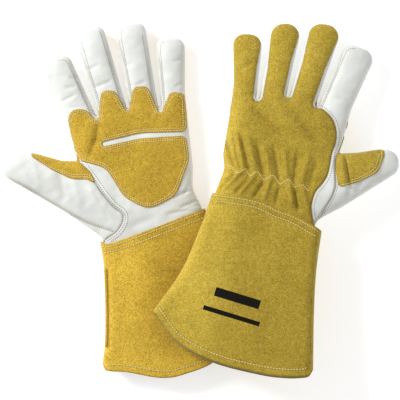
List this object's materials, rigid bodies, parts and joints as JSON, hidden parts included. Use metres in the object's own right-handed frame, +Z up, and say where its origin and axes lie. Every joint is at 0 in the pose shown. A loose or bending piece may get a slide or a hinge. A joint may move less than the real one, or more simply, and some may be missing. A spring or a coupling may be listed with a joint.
{
  "type": "welding gloves",
  "caption": "Pair of gauntlet welding gloves: grain leather hands, split leather backs, palm and thumb patches, shirred wrists and flared cuffs.",
  "frame": {"origin": "centre of the pair's outline, on the surface that the gloves lie on", "axes": "+Z up from the table, +Y from the cuffs to the fingertips, +X from the lower glove to the upper glove"},
  "size_m": [0.397, 0.3561, 0.0663],
  "materials": {
    "grain_leather": "white full-grain goatskin, lightly pebbled, soft gloss",
    "split_leather": "golden split cowhide, napped suede, matt",
    "suede_thread": "pale yellow heavy sewing thread",
    "grain_thread": "grey-brown sewing thread",
    "lining": "plain brushed cloth",
    "elastic": "woven elastic band",
    "ink": "matt black screen print"
  },
  "bodies": {
    "lower_glove": {"lower_back_panel": "split_leather", "lower_cuff_back": "split_leather", "lower_cuff_front": "split_leather", "lower_cuff_seam_thread": "suede_thread", "lower_cuff_welt": "split_leather", "lower_fourchette_index_middle": "grain_leather", "lower_fourchette_middle_ring": "grain_leather", "lower_fourchette_ring_little": "grain_leather", "lower_hem_thread": "suede_thread", "lower_index_back": "grain_leather", "lower_palm_panel": "grain_leather", "lower_palm_patch": "split_leather", "lower_palm_patch_thread": "suede_thread", "lower_thumb_back": "grain_leather", "lower_thumb_front": "grain_leather", "lower_thumb_patch": "split_leather", "lower_thumb_patch_thread": "suede_thread", "lower_wrist_elastic": "elastic"},
    "upper_glove": {"upper_back_panel": "split_leather", "upper_cuff_back": "split_leather", "upper_cuff_front": "split_leather", "upper_cuff_seam_thread": "suede_thread", "upper_cuff_welt": "split_leather", "upper_fourchette_index_middle": "grain_leather", "upper_fourchette_middle_ring": "grain_leather", "upper_fourchette_ring_little": "grain_leather", "upper_hem_thread": "suede_thread", "upper_index_back": "grain_leather", "upper_palm_panel": "grain_leather", "upper_palm_patch": "split_leather", "upper_palm_patch_thread": "suede_thread", "upper_thumb_back": "grain_leather", "upper_thumb_front": "grain_leather", "upper_thumb_patch": "split_leather", "upper_thumb_patch_thread": "suede_thread", "upper_wrist_elastic": "elastic"}
  },
  "joints": [
    {"name": "upper_glove_lift", "type": "slide", "parent": "lower_glove", "child": "upper_glove", "axis": [0, 0, 1], "range_m": [0, 0.15]}
  ]
}
